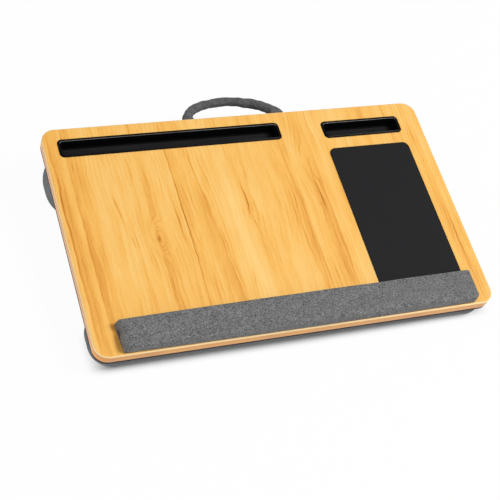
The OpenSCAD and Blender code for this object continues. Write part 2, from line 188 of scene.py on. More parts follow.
class LapDeskColours(bpy.types.PropertyGroup):
    """Colours of the finishes"""

    wood_pale: colour("Pale wood", "Early wood of the laminate's grain", 254, 208, 126)
    wood_mid: colour("Wood", "Body of the laminate's grain", 249, 188, 91)
    wood_deep: colour("Deep wood", "Darker bands of the laminate's grain", 227, 153, 56)
    wood_line: colour("Grain line", "Fine dark lines of the laminate's grain", 166, 96, 28)
    band: colour("Edge band", "Edge band of the deck", 255, 160, 46)
    # Painted highlight: pale colour of the band's eased top edge, in place of the light it catches
    arris: colour("Arris", "Eased edge of the band", 255, 226, 168)
    tray: colour("Tray", "Moulded trays", 5, 5, 6)
    # Painted highlight: a pale colour on the bead of each tray's back lip, in place of the light it catches
    tray_lip_highlight: colour("Tray lip", "Rubbed back lip of a tray's rim", 128, 128, 125)
    # Painted reflection: the tray floor's paler colour stands in for the bright surroundings it reflects, with
    # scuffs
    tray_floor: colour("Tray floor", "Scuffed floor of a tray", 35, 35, 37)
    pad: colour("Mouse pad", "Smooth face of the mouse pad", 28, 28, 30)
    felt_dark: colour("Felt, dark fibres", "Darker fibres of the wrist rest's felt", 42, 42, 42)
    felt_pale: colour("Felt, pale fibres", "Paler fibres of the wrist rest's felt", 149, 149, 149)
    bolster_dark: colour("Bolster, dark yarn", "Darker yarn of the bolsters' cover", 92, 95, 97)
    bolster_pale: colour("Bolster, pale yarn", "Paler yarn of the bolsters' cover", 147, 150, 152)
    handle_dark: colour("Handle, dark yarn", "Darker yarn of the handle's cover", 61, 61, 62)
    handle_pale: colour("Handle, pale yarn", "Paler yarn of the handle's cover", 118, 118, 119)
    lining: colour("Lining", "Lining under the deck", 62, 60, 60)


class LapDeskStage(bpy.types.PropertyGroup):
    """Camera and light"""

    eye: spot("Eye", "Camera's place in the deck's frame", -0.6178, -0.759, 1.2861)
    target: spot("Target", "Point on the deck's face in the middle of the view", -0.0434, -0.0457, 0)
    level: FloatVectorProperty(
        name="Level", description="Direction across the view, in the deck's frame",
        default=(0.925, -0.279, 0.258), subtype="DIRECTION", size=3,
    )
    lens: FloatProperty(
        name="Lens", description="Focal length on a 36 mm sensor", default=88.35, unit="CAMERA"
    )
    key: FloatProperty(name="Key light", description="Power of the key light", default=113.0, unit="POWER")
    fill: FloatProperty(name="Fill light", description="Power of the fill light", default=7.4, unit="POWER")
    sky: FloatProperty(name="Sky", description="Strength of the even light all round", default=0.32)


# Shader nodes

def sum_of(operation, reflected=False):
    """An operator of Wire that adds a Math node. Its reflected form swaps the values."""
    def operator(self, *others):
        values = (*others, self) if reflected else (self, *others)
        return self.shader.node("ShaderNodeMath", {"operation": operation}, dict(enumerate(values)))
    return operator


class Wire:
    """A shader socket that takes part in Python sums. Each sum adds a Math node."""

    def __init__(self, shader, socket):
        self.shader = shader
        self.socket = socket

    __add__ = sum_of("ADD")
    __radd__ = sum_of("ADD", reflected=True)
    __sub__ = sum_of("SUBTRACT")
    __rsub__ = sum_of("SUBTRACT", reflected=True)
    __mul__ = sum_of("MULTIPLY")
    __rmul__ = sum_of("MULTIPLY", reflected=True)
    __truediv__ = sum_of("DIVIDE")
    __rtruediv__ = sum_of("DIVIDE", reflected=True)
    __pow__ = sum_of("POWER")
    __rpow__ = sum_of("POWER", reflected=True)
    fraction = sum_of("FRACT")
    wave = sum_of("SINE")
    over = sum_of("MAXIMUM")

    def __neg__(self):
        return self * -1

    def hump(self):
        """A bell curve of this distance: 1 at 0, and near 0 past 2."""
        return math.e ** -(self * self)

    def rise(self, low, high):
        """0 at low and 1 at high, with a smooth step between. With low above high it falls instead."""
        return self.shader.node(
            "ShaderNodeMapRange", {"interpolation_type": "SMOOTHSTEP"},
            {"Value": self, "From Min": low, "From Max": high},
        )


class Shader:
    """The nodes of one material, or of the world."""

    def __init__(self, name, store="materials"):
        self.name = name
        self.material = getattr(bpy.data, store).new(name)
        self.material.use_nodes = True
        self.tree = self.material.node_tree
        self.tree.nodes.clear()

    def node(self, kind, settings=None, sockets=None, output=0):
        """Adds a node: its settings first, then values or wires for its sockets. Returns one output."""
        made = self.tree.nodes.new(kind)
        for key, value in (settings or {}).items():
            if key == "stops":
                self.set_stops(made.color_ramp, value)
            else:
                setattr(made, key, value)
        for key, value in (sockets or {}).items():
            if isinstance(value, Wire):
                self.tree.links.new(value.socket, made.inputs[key])
            else:
                made.inputs[key].default_value = value
        return Wire(self, made.outputs[output]) if made.outputs else None

    @staticmethod
    def set_stops(ramp, stops):
        while len(ramp.elements) < len(stops):
            ramp.elements.new(0.5)
        for element, (at, tint) in zip(ramp.elements, stops):
            element.position = at
            element.color = (*tint, 1)

    def along(self, place, axis):
        return self.node("ShaderNodeSeparateXYZ", None, {0: place}, axis)

    def mix(self, share, first, second):
        def tint(value):
            return value if isinstance(value, Wire) else (*value, 1)
        return self.node(
            "ShaderNodeMix", {"data_type": "RGBA"}, {0: share, 6: tint(first), 7: tint(second)}, 2
        )


MATERIALS = {}


class DeskFinish(Shader):
    """A finish that is laid out by the place on the desk, in the deck's frame and in millimetres."""

    def __init__(self, name):
        super().__init__(name)
        place = self.node("ShaderNodeTexCoord", output="Object")
        self.place = self.node("ShaderNodeMapping", None, {
            "Vector": place, "Location": TO_DECK.translation / MM, "Rotation": TO_DECK.to_euler(),
            "Scale": (1 / MM,) * 3,
        })

    def noise(self, size, detail=2.0, roughness=0.5, shift=0.0):
        """Even noise about 0, with features of this size in millimetres, or of three sizes."""
        sizes = size if isinstance(size, tuple) else (size,) * 3
        place = self.node("ShaderNodeMapping", None, {
            "Vector": self.place, "Location": (shift,) * 3, "Scale": [1 / s for s in sizes],
        })
        made = self.node("ShaderNodeTexNoise", None, {
            "Vector": place, "Scale": 1.0, "Detail": detail, "Roughness": roughness,
        })
        return made - 0.5

    def vector(self, operation, *values, output=0):
        return self.node("ShaderNodeVectorMath", {"operation": operation}, dict(enumerate(values)), output)

    def bump(self, height, distance, strength):
        """Normal of a surface raised by height, from 0 to 1, times distance in millimetres."""
        return self.node("ShaderNodeBump", None, {
            "Height": height, "Distance": distance * MM, "Strength": strength,
        })

    def keep(self, sockets):
        """Ends the nodes in a surface, and keeps the material under the finish's name."""
        surface = self.node("ShaderNodeBsdfPrincipled", None, sockets)
        self.node("ShaderNodeOutputMaterial", None, {"Surface": surface})
        MATERIALS[self.name] = self.material


# Finishes

# Bands of the grain: x and y of the edge's two ends, width in mm, below 0 to the left of it, and how dark
GRAIN_BANDS = [
    (-270, 170, -269, -170, 24, 0.32), (-250, 170, -249, -170, 28, 0.26),
    (-184, -20, -182, -150, -14, 0.13), (-154, 150, -155, 40, 16, 0.09), (-160, 40, -159, -170, 22, 0.24),
    (-124, 50, -123, -150, -11, 0.14), (-117, 170, -116, -170, 30, 0.21), (-87, 150, -80, 20, -15, 0.14),
    (-81, 45, -66, -150, -25, 0.36), (-36, 170, -35, -170, -40, -0.20), (-26, 80, -15, -150, -9, 0.12),
    (-11, -20, -9, -150, -12, 0.14), (56, 170, 55, -170, -26, 0.24), (91, 110, 90, -150, -29, 0.27),
    (104, 170, 100, 80, -12, 0.14), (231, 170, 228, 90, -11, 0.18), (261, 100, 261, -170, -40, 0.18),
    (190, 170, 188, 140, -10, 0.16), (-230, 20, -228, -180, -48, 0.15),
]
# Lines of the grain: x and y of the two ends, half width in mm, and how dark
GRAIN_LINES = [
    (-268, 170, -267, -170, 1.0, 0.26), (-262, 170, -261, -170, 0.8, 0.20),
    (-248, 120, -247, -160, 0.7, 0.16), (-202, 58, -198, 18, 1.4, 0.55), (-198, 26, -196, -20, 0.8, 0.32),
    (-194, -4, -191, -26, 0.9, 0.36), (-188, -2, -187, -22, 0.7, 0.30), (-173, 100, -169, 12, 0.7, 0.16),
    (-139, 122, -132, -22, 0.8, 0.26), (-130, 88, -121, -40, 0.7, 0.26), (-127, 34, -122, -36, 0.8, 0.30),
    (-153, -24, -146, -68, 0.8, 0.24), (-168, -28, -152, -104, 0.6, 0.18),
    (-117, 170, -116, -170, 1.0, 0.52), (-99, 92, -100, 12, 0.7, 0.22), (-98, -28, -96, -118, 0.7, 0.28),
    (-87, 114, -84, 76, 1.2, 0.30), (-80, 46, -66, -108, 0.9, 0.34), (-35, 124, -30, 84, 0.6, 0.36),
    (-26, 58, -27, 6, 1.3, 0.58), (-27, 12, -18, -30, 0.8, 0.26), (-18, -28, -17, -114, 0.9, 0.20),
    (36, 96, 44, 40, 0.8, 0.26), (44, 42, 37, -20, 0.8, 0.26), (37, -4, 42, -96, 1.0, 0.34),
    (47, 122, 52, -36, 0.8, 0.24), (80, 58, 82, 6, 1.3, 0.38), (77, 12, 79, -28, 0.9, 0.30),
    (80, -66, 80, -110, 0.7, 0.30), (91, 106, 91, -82, 0.8, 0.26), (-49, -76, -50, -98, 0.6, 0.26),
    (-158, 170, -157, 148, 0.8, 0.36), (-87, 170, -86, 148, 0.8, 0.32), (14, 170, 15, 148, 0.7, 0.24),
    (190, 170, 191, 142, 0.8, 0.30), (222, 170, 223, 96, 0.9, 0.42), (258, -18, 260, -124, 0.8, 0.32),
    (268, 60, 269, -90, 0.7, 0.12),
]
# Knots and loops of the grain: middle, half width, half length in mm, rings, and how dark
GRAIN_KNOTS = [(-158, -14, 6, 15, 1.8, 0.32), (71, 84, 11, 30, 0.9, -0.10)]
# Size of the grain's noise through the deck, in mm, so large that the print is the same at any depth
PRINT_DEPTH = 1e4
ZEROS = (0, 0, 0)
ONES = (1, 1, 1)


def trios(rows):
    """Rows in groups of three, each turned into columns, so that one Vector Math node works on three rows.
    The last group is filled up by rows that don't show."""
    spare = [rows[-1][:-1] + (0,)] * (-len(rows) % 3)
    filled = rows + spare
    return [list(zip(*filled[i:i + 3])) for i in range(0, len(filled), 3)]


def beside(shader, x, y, first_x, first_y, last_x, last_y):
    """For three lines between two ends: the distance to the right of each, and a measure of how far past its
    ends this y is, from 0 in its middle to 1 at an end and more beyond."""
    lean = [(b - a) / (d - c) for a, b, c, d in zip(first_x, last_x, first_y, last_y)]
    start = [a - k * c for a, k, c in zip(first_x, lean, first_y)]
    reach = [2 / abs(d - c) for c, d in zip(first_y, last_y)]
    middle = [-(c + d) / 2 * r for c, d, r in zip(first_y, last_y, reach)]
    off = shader.vector("SUBTRACT", x, shader.vector("MULTIPLY_ADD", y, lean, start))
    along = shader.vector("MULTIPLY_ADD", y, reach, middle)
    square = shader.vector("MULTIPLY", along, along)
    return off, shader.vector("MULTIPLY", square, square)


def grain_lines(shader, x, y):
    """Fine dark lines of the grain, fading at their ends."""
    tone = 0
    for *ends, half, dark in trios(GRAIN_LINES):
        off, beyond = beside(shader, x, y, *ends)
        near = shader.vector("MULTIPLY", off, [1 / h for h in half])
        spread = shader.vector("MULTIPLY_ADD", near, near, beyond)
        shown = shader.vector("DIVIDE", ONES, shader.vector("ADD", spread, ONES))
        squared = shader.vector("MULTIPLY", shown, shown)
        tone = shader.vector("DOT_PRODUCT", squared, dark, output=1) + tone
    return tone


def grain_bands(shader, x, y):
    """Darker bands of the grain, each with one sharp edge and fading away from it."""
    sharpness, tone = 0.7, 0
    for *ends, width, dark in trios(GRAIN_BANDS):
        off, beyond = beside(shader, x, y, *ends)
        edge = shader.vector("MULTIPLY_ADD", off, [math.copysign(sharpness, w) for w in width], (0.5,) * 3)
        fade = shader.vector("MULTIPLY_ADD", off, [-1 / w for w in width], ONES)
        shade = shader.vector("MINIMUM", shader.vector("MINIMUM", edge, fade), ONES)
        shade = shader.vector("MAXIMUM", shade, ZEROS)
        shown = shader.vector("DIVIDE", shade, shader.vector("ADD", beyond, ONES))
        tone = shader.vector("DOT_PRODUCT", shown, dark, output=1) + tone
    return tone


def grain_tone(shader):
    """How dark the printed grain is, from 0, pale early wood, to 1, a dark line."""
    def printed(across, along, detail=2.0, roughness=0.5, shift=0.0):
        return shader.noise((across, along, PRINT_DEPTH), detail, roughness, shift)

    x = shader.along(shader.place, "X")
    y = shader.along(shader.place, "Y")
    ripple = printed(26, 62, shift=3.1)
    waver = printed(7, 17, shift=5.2)
    bent = x + 8 * ripple + 2.6 * waver
    uneven = 1 + 1.1 * printed(10, 34, 1.0, shift=9.4)
    tone = 0.2 + 0.5 * printed(30, 240, shift=8.2)
    tone = tone + 0.36 * printed(10, 62, shift=7.1)
    ring_pitch = 17
    rings = (x + 30 * printed(95, 330, 1.5) + 9 * ripple) / ring_pitch
    for at_x, at_y, half_x, half_y, turns, dark in GRAIN_KNOTS:
        reach = (((x - at_x) / half_x) ** 2 + ((y - at_y) / half_y) ** 2) ** 0.5
        rings = rings + turns * (0.6 * reach).hump()
        tone = tone + dark * (2.2 * reach).hump()
    ring = rings.fraction()
    tone = tone + 0.14 * ring ** 3 * (1 - ring.rise(0.9, 1.0)) * uneven
    fine = (3 * rings + 0.6 * waver).fraction()
    figured = printed(26, 90, 1.0, shift=4.7).rise(-0.06, 0.12)
    tone = tone + 0.4 * fine ** 7 * (1 - fine.rise(0.94, 1.0)) * figured * uneven
    tone = tone + grain_bands(shader, bent, y) + grain_lines(shader, bent, y) * uneven
    streaks = printed(2.6, 38, 3.0, 0.6, shift=1.3)
    fibres = printed(0.8, 16, 3.0, 0.6, shift=2.4)
    pores = printed(0.8, 7, 1.0, shift=6.6).rise(0.19, 0.27)
    return tone + 0.2 * streaks + 0.3 * fibres + 0.26 * pores


def grain_colour(shader, tone, tints):
    return shader.node("ShaderNodeValToRGB", {"stops": [
        (0.0, tints.wood_pale), (0.34, tints.wood_mid), (0.68, tints.wood_deep), (1.0, tints.wood_line),
    ]}, {0: tone})


def wood_grain(tints):
    """Printed laminate: long grain from back to front under a satin skin."""
    shader = DeskFinish("wood_grain")
    tone = grain_tone(shader)
    smudge = shader.noise(60, 3.0, shift=4.4)
    shader.keep({
        "Base Color": grain_colour(shader, tone, tints),
        "Roughness": 0.46 + 0.12 * smudge + 0.05 * tone,
        "Normal": shader.bump(1 - tone, 0.05, 0.35),
        "Specular IOR Level": 0.32,
    })


def wood_edge(tints):
    """Edge band: grain along the edge in layers, with a painted highlight on the eased edge under the laminate."""
    shader = DeskFinish("wood_edge")
    level = shader.along(shader.place, "Z")
    layers = shader.noise((160, 160, 0.9), 3.0, 0.6)
    cloudy = shader.noise((45, 45, 30), shift=2.0)
    streaked = (0.5 + 0.9 * layers + 0.7 * cloudy).rise(0.0, 1.0)
    body = shader.mix(streaked, toned(tints.band, 0.72), toned(tints.band, 1.25))
    # Painted highlight: the eased top edge of the band is coloured pale
    eased = level.rise(-2.7, -1.6)
    skin = level.rise(-0.12, -0.05)
    side = shader.mix(eased, body, tints.arris)
    shader.keep({
        "Base Color": shader.mix(skin, side, grain_colour(shader, grain_tone(shader), tints)),
        "Roughness": 0.5 + 0.2 * layers, "Specular IOR Level": 0.32,
        "Coat Weight": 0.7, "Coat Roughness": 0.3,
        "Normal": shader.bump(0.5 + layers, 0.06, 0.4),
    })


def fibreboard():
    """Pressed fibres of the core and the backing."""
    shader = DeskFinish("fibreboard")
    fibres = shader.noise((2.4, 0.8, 0.8), 4.0, 0.65)
    flakes = shader.noise(1.6, 3.0, shift=3.3)
    pressed = (0.5 + fibres + flakes).rise(0.1, 0.9)
    shader.keep({
        "Base Color": shader.mix(pressed, srgb(128, 92, 60), srgb(186, 146, 102)),
        "Roughness": 0.85 + 0.2 * flakes, "Normal": shader.bump(0.5 + fibres, 0.15, 0.5),
    })


def gloss_plastic(tints):
    """Moulded black trays: glossy rim, painted highlight on the back lip, matt walls, painted sheen and scuffs on
    the floor.
    """
    shader = DeskFinish("tray_plastic")
    level = shader.along(shader.place, "Z")
    smudge = shader.noise((26, 9, 9), 3.0)
    streaks = shader.noise((60, 1.4, 1.4), shift=3.0)
    scratches = shader.noise((18, 0.35, 0.35), shift=5.0).rise(0.14, 0.24)
    body = shader.mix(0.5 + smudge, toned(tints.tray, 0.7), toned(tints.tray, 1.3))
    # Painted reflection: the floor is coloured paler in place of the bright surroundings it reflects, uneven like
    # real scuffs
    floor_sheen_and_scuffs = level.rise(TRAY_BOTTOM + 2.3, TRAY_BOTTOM + 1.9) * (0.9 + 0.9 * smudge + 0.9 * streaks)
    # The back lip starts at the same distance behind the middle of either tray
    stepped = TRAY_STEP * shader.along(shader.place, "X").rise(TRAY_GAP + 5, TRAY_GAP - 5)
    back_rim = (shader.along(shader.place, "Y") - stepped).rise(TRAY_MIDDLE + 7, TRAY_MIDDLE + 9)
    # Painted highlight: the bead on the back lip is coloured pale to stand in for the light it catches
    painted_lip_highlight = level.rise(1.0, 1.14) * back_rim * (0.8 + 1.2 * smudge + 0.8 * streaks)
    rim = level.rise(-0.6, 0.2)
    shader.keep({
        "Base Color": shader.mix(painted_lip_highlight, shader.mix(floor_sheen_and_scuffs, body, tints.tray_floor), tints.tray_lip_highlight),
        "Roughness": 0.72 - rim * (0.2 + 0.3 * back_rim) + 0.1 * smudge + 0.12 * scratches,
        "Specular IOR Level": 0.08,
        "Coat Weight": rim * (0.04 + 0.2 * back_rim + 0.15 * streaks), "Coat Roughness": 0.15,
        "Normal": shader.bump(0.5 + smudge, 0.03, 0.2),
    })


def pad_skin(tints):
    """Smooth mouse pad face with a very fine leather grain."""
    shader = DeskFinish("pad_face")
    cells = shader.node(
        "ShaderNodeTexVoronoi", {"feature": "SMOOTH_F1"}, {"Vector": shader.place, "Scale": 1.1}
    )
    cloudy = shader.noise(38, 3.0)
    fine = shader.noise(0.7, shift=2.0)
    tone = 0.5 + 0.5 * cloudy + 0.7 * fine
    shader.keep({
        "Base Color": shader.mix(tone, toned(tints.pad, 0.82), toned(tints.pad, 1.18)),
        "Roughness": 0.72 + 0.15 * cloudy, "Specular IOR Level": 0.18,
        "Normal": shader.bump(cells, 0.12, 0.35),
    })


def rubber():
    """Cellular rubber under the mouse pad."""
    shader = DeskFinish("pad_rubber")
    cells = shader.noise(0.5)
    shader.keep({
        "Base Color": shader.mix(0.5 + cells, srgb(22, 22, 23), srgb(40, 40, 41)),
        "Roughness": 0.88 + 0.1 * cells, "Normal": shader.bump(0.5 + cells, 0.2, 0.5),
    })


def felt(tints):
    """Heather felt of the wrist rest: matted pale and dark fibres."""
    shader = DeskFinish("rest_felt")
    clumps = shader.noise(2.2, 2.0, 0.6)
    drift = shader.noise(11, shift=4.0)
    flecks = shader.noise((1.6, 1.2, 1.2), 2.0, 0.7, shift=7.0)
    hairs = shader.noise((0.35, 0.9, 0.5), shift=9.0)
    tone = 0.5 + 1.2 * clumps + 0.35 * drift + 1.7 * flecks + 0.5 * hairs
    height = 0.5 + 0.6 * clumps + 0.7 * flecks + 0.6 * hairs
    shader.keep({
        "Base Color": shader.mix(tone, tints.felt_dark, tints.felt_pale),
        "Roughness": 0.94 + 0.1 * flecks, "Specular IOR Level": 0.15, "Sheen Weight": 0.12,
        "Sheen Roughness": 0.6, "Normal": shader.bump(height, 0.5, 0.6),
    })


def woven(name, dark, pale, yarn, contrast):
    """Plain heather weave: crossing yarns of this pitch in millimetres, with mottled dye."""
    shader = DeskFinish(name)
    turn = 2 * math.pi / yarn
    x, y, z = (shader.along(shader.place, axis) for axis in "XYZ")
    wobble = 1.6 * shader.noise(6)
    warp = (turn * (x + 0.5 * y) + wobble).wave()
    weft = (turn * (z + 0.6 * y) + wobble).wave()
    weave = 0.5 + 0.25 * warp * weft + 0.12 * (warp + weft)
    dye = shader.noise((2.2, 2.2, 1.4), 3.0, 0.65, shift=2.2)
    slubs = shader.noise((9, 9, 1.1), shift=5.5)
    cloudy = shader.noise(30, shift=8.8)
    tone = 0.5 + contrast * (0.9 * dye + 0.6 * slubs + 0.4 * cloudy + 0.35 * (weave - 0.5))
    shader.keep({
        "Base Color": shader.mix(tone, dark, pale),
        "Roughness": 0.93 + 0.1 * dye, "Specular IOR Level": 0.15, "Sheen Weight": 0.1,
        "Sheen Roughness": 0.5, "Normal": shader.bump(weave + 0.5 * dye, 0.35, 0.55),
    })


def fill_fibre(name, dark, pale, size):
    """Loose fibre or foam that the covers hide."""
    shader = DeskFinish(name)
    wisps = shader.noise(size, 4.0, 0.65)
    shader.keep({
        "Base Color": shader.mix(0.5 + 1.2 * wisps, dark, pale), "Roughness": 0.95 + 0.08 * wisps,
        "Normal": shader.bump(0.5 + wisps, 0.6, 0.5),
    })


def moulded(name, dark, pale):
    """Plain moulded strip or tape with a faint mould grain."""
    shader = DeskFinish(name)
    grain = shader.noise((0.6, 0.6, 0.3))
    shader.keep({
        "Base Color": shader.mix(0.5 + grain, dark, pale), "Roughness": 0.6 + 0.2 * grain,
        "Normal": shader.bump(0.5 + grain, 0.08, 0.4),
    })


def steel():
    """Zinc-plated steel of the screws, washers and staples."""
    shader = DeskFinish("steel")
    brush = shader.noise((3.5, 0.25, 0.25), 3.0)
    stain = shader.noise(4, shift=3.0)
    shader.keep({
        "Base Color": shader.mix(0.5 + brush + stain, srgb(118, 118, 116), srgb(172, 173, 173)),
        "Metallic": 1.0, "Roughness": 0.34 + 0.25 * brush + 0.1 * stain,
        "Normal": shader.bump(0.5 + brush, 0.02, 0.3),
    })


def make_materials(tints):
    wood_grain(tints)
    wood_edge(tints)
    fibreboard()
    gloss_plastic(tints)
    pad_skin(tints)
    rubber()
    felt(tints)
    steel()
    woven("bolster_fabric", tints.bolster_dark, tints.bolster_pale, yarn=1.1, contrast=1.0)
    woven("handle_fabric", tints.handle_dark, tints.handle_pale, yarn=1.0, contrast=1.7)
    woven("lining_fabric", toned(tints.lining, 0.6), toned(tints.lining, 1.4), yarn=0.9, contrast=0.8)
    fill_fibre("fibre_fill", srgb(222, 220, 212), srgb(248, 247, 242), size=3.5)
    fill_fibre("foam", srgb(205, 190, 140), srgb(234, 222, 178), size=0.9)
    moulded("base_plastic", srgb(24, 24, 25), srgb(44, 44, 45))
    moulded("tape", srgb(214, 212, 205), srgb(238, 236, 230))


# Meshes

def bell(distance, reach):
    """A bell curve: 1 at no distance, and near 0 past twice the reach."""
    return math.exp(-(distance / reach) ** 2)


def past(value, start, full):
    """0 up to start, then rising evenly to 1 at full, and on beyond it."""
    return max((value - start) / (full - start), 0)


def half_outline(half, right_radius, left_radius, draw_in, counts):
    """Points from the right end round the back to the left end, half a rounded rectangle."""
    arc, side, end = counts
    hx, hy = half

    def end_points(radius):
        straight = [(hx, (hy - radius) * (k + 0.5) / end) for k in range(end)]
        turns = [math.pi / 2 * k / arc for k in range(arc + 1)]
        return straight + [
            (hx - radius + radius * math.cos(w), hy - radius + radius * math.sin(w)) for w in turns
        ]

    right = end_points(right_radius)
    left = [(-x, y) for x, y in reversed(end_points(left_radius))]
    first, last = hx - right_radius, left_radius - hx
    between = []
    for k in range(1, side):
        x = first + (last - first) * k / side
        between.append((x, hy - draw_in * (1 - (x / hx) ** 2)))
    return right + between + left


def outline(half, radii, inset, draw_in, counts):
    """Rounded rectangle, inset all round, with its long sides drawn in. Its points i and n - 1 - i face each
    other across the middle. The radii are those of the back right, back left, front left and front right
    corners, and the counts are the steps of a corner, of a long side and of half an end."""
    least = 0.2 * MM
    turned = [max(r - inset, least) for r in radii]
    inner = half[0] - inset, half[1] - inset
    back = half_outline(inner, turned[0], turned[1], draw_in, counts)
    front = half_outline(inner, turned[3], turned[2], draw_in, counts)
    return back + [(x, -y) for x, y in reversed(front)]


def profile_rings(middle, half, radii, profile, counts, draw_in=0.0):
    """One outline for each inset and level of a profile."""
    return [
        [(middle.x + x, middle.y + y, z) for x, y in outline(half, radii, inset, draw_in, counts)]
        for inset, z in profile
    ]


def arc_profile(middle, radius, first, last, steps=5):
    """Points of a fillet in a profile, from one angle to another in degrees."""
    turns = [math.radians(first + (last - first) * k / steps) for k in range(steps + 1)]
    return [(middle[0] - radius * math.cos(w), middle[1] + radius * math.sin(w)) for w in turns]


def loft_faces(count, rings, looped=False):
    """Quads between rings of points, with caps of strips across the first and last, or joined end to end."""
    faces = []
    for j in range(rings if looped else rings - 1):
        low, up = j * count, (j + 1) % rings * count
        for i in range(count):
            k = (i + 1) % count
            faces.append((low + i, low + k, up + k, up + i))
    if not looped:
        for start in (0, (rings - 1) * count):
            for i in range(count // 2 - 1):
                strip = (start + i, start + i + 1, start + count - 2 - i, start + count - 1 - i)
                faces.append(strip if start else strip[::-1])
    return faces


def add_piece(name, points, faces, finish, matrix=DECK, sharp=45):
    """A new mesh object in the model's frame, from points in the deck's or another frame. Edges that turn by
    more than sharp degrees aren't smoothed."""
    mesh = bpy.data.meshes.new(name)
    mesh.from_pydata(points, [], faces)
    mesh.transform(matrix)
    shell = bmesh.new()
    shell.from_mesh(mesh)
    bmesh.ops.recalc_face_normals(shell, faces=shell.faces)
    shell.to_mesh(mesh)
    shell.free()
    mesh.shade_smooth()
    mesh.set_sharp_from_angle(angle=math.radians(sharp))
    mesh.materials.append(MATERIALS[finish])
    piece = bpy.data.objects.new(name, mesh)
    bpy.context.scene.collection.objects.link(piece)
    return piece


def add_loft(name, rings, finish, looped=False, matrix=DECK, sharp=45):
    """A new mesh object over rings of points."""
    points = [p for ring in rings for p in ring]
    return add_piece(name, points, loft_faces(len(rings[0]), len(rings), looped), finish, matrix, sharp)


def dress(*nodes):
    """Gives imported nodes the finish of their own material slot."""
    slots = {part["node"]: part["material_slot"] for part in frame["record"]["subparts"]}
    for node in nodes:
        mesh = frame["nodes"][node].data
        mesh.materials.clear()
        mesh.materials.append(MATERIALS[slots[node]])


def subdivide(piece):
    rounded = piece.modifiers.new("rounded", "SUBSURF")
    rounded.levels = 1
    rounded.render_levels = 1


def inflate(piece, sewn, pressure, reach, spare, steps=20):
    """Its first points, as many as are sewn, stay. None goes past reach, and the stuffing stops any that
    would sink in."""
    mesh = piece.data
    before = [v.co.copy() for v in mesh.vertices]
    outward = [v.normal.copy() for v in mesh.vertices]
    group = piece.vertex_groups.new(name="sewn")
    group.add(list(range(sewn)), 1.0, "REPLACE")
    swell = piece.modifiers.new("swell", "CLOTH")
    cloth = swell.settings
    cloth.quality = 6
    cloth.vertex_group_mass = group.name
    cloth.use_pressure = True
    cloth.uniform_pressure_force = pressure
    cloth.shrink_min = -spare
    cloth.effector_weights.gravity = 0
    cloth.bending_stiffness = 0.6
    swell.point_cache.frame_start = 1
    swell.point_cache.frame_end = steps
    scene = bpy.context.scene
    for step in range(1, steps + 1):
        scene.frame_set(step)
    swollen = piece.evaluated_get(bpy.context.evaluated_depsgraph_get()).data
    after = [v.co.copy() for v in swollen.vertices]
    piece.modifiers.remove(swell)
    piece.vertex_groups.remove(group)
    sink = 0.1 * reach
    for vertex, start, end, out in zip(mesh.vertices, before, after, outward):
        move = end - start
        move += out * max(-move.dot(out) - sink, 0)
        if move.length > reach:
            move *= reach / move.length
        vertex.co = start + move
    scene.frame_set(1)


# Operators

class LAPDESK_OT_deck(bpy.types.Operator):
    """Finishes the wood-grain deck, its core and its edge band"""

    bl_idname = "lap_desk.deck"
    bl_label = "Deck"

    def execute(self, context):
        dress("core_board", "deck_laminate")
        self.edge_band(context.scene.lap_desk_sizes)
        return {"FINISHED"}

    def edge_band(self, sizes):
        low, high = DECK_MIDDLE.z - DECK_HALF.z, DECK_MIDDLE.z + DECK_HALF.z
        soft = sizes.arris
        profile = [(sizes.band_depth, low)]
        profile += arc_profile((soft, low + soft), soft, -90, 0)
        profile += arc_profile((soft, high - soft), soft, 0, 90)
        profile += [(sizes.band_depth, high)]
        radii = [sizes.corner_radius] * 4
        rings = profile_rings(DECK_MIDDLE, DECK_HALF.xy, radii, profile, counts=(20, 40, 24))
        band = add_loft("edge_band_wrap", rings, "wood_edge", looped=True)
        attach(band, "desk")
        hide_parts("edge_band")


class LAPDESK_OT_trays(bpy.types.Operator):
    """Builds the two moulded device trays"""

    bl_idname = "lap_desk.trays"
    bl_label = "Trays"

    def execute(self, context):
        for node in ("tablet_tray", "phone_tray"):
            self.tray(node, context.scene.lap_desk_sizes)
        return {"FINISHED"}

    def tray(self, node, sizes):
        """Shell with a rounded foot, a rim with a bead at the opening, drafted walls and a coved floor."""
        middle, half = middle_and_half(node)
        low, high = middle.z - half.z, middle.z + half.z
        floor = low + sizes.tray_floor
        outer = sizes.rim_width - sizes.tray_wall
        inner = sizes.rim_width
        lip, cove, draft, ease, flat = 0.55 * MM, 4 * MM, 0.25 * MM, 0.15 * MM, 1.5 * MM
        foot = [(0.8 * MM, 0), (0.2 * MM, 0.25 * MM), (0, 0.8 * MM)]
        bead_start = 35
        rim_top = high - lip * (1 - math.sin(math.radians(bead_start)))
        profile = [(outer + inset, low + rise) for inset, rise in foot]
        profile += [(outer, 0), (ease, 0), (0, ease)]
        profile += arc_profile((lip, rim_top - lip), lip, 0, 90)
        profile += arc_profile((inner - lip, high - lip), lip, bead_start, 180, steps=7)
        profile += arc_profile((inner + draft + cove, floor + cove), cove, 0, -90, steps=8)
        profile += [(inner + draft + cove + flat, floor)]
        radii = [sizes.rim_radius] * 4
        rings = profile_rings(middle, half.xy, radii, profile, counts=(10, 24, 2))
        tray = add_loft(f"{node}_moulding", rings, "tray_plastic")
        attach(tray, "desk")
        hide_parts(node)


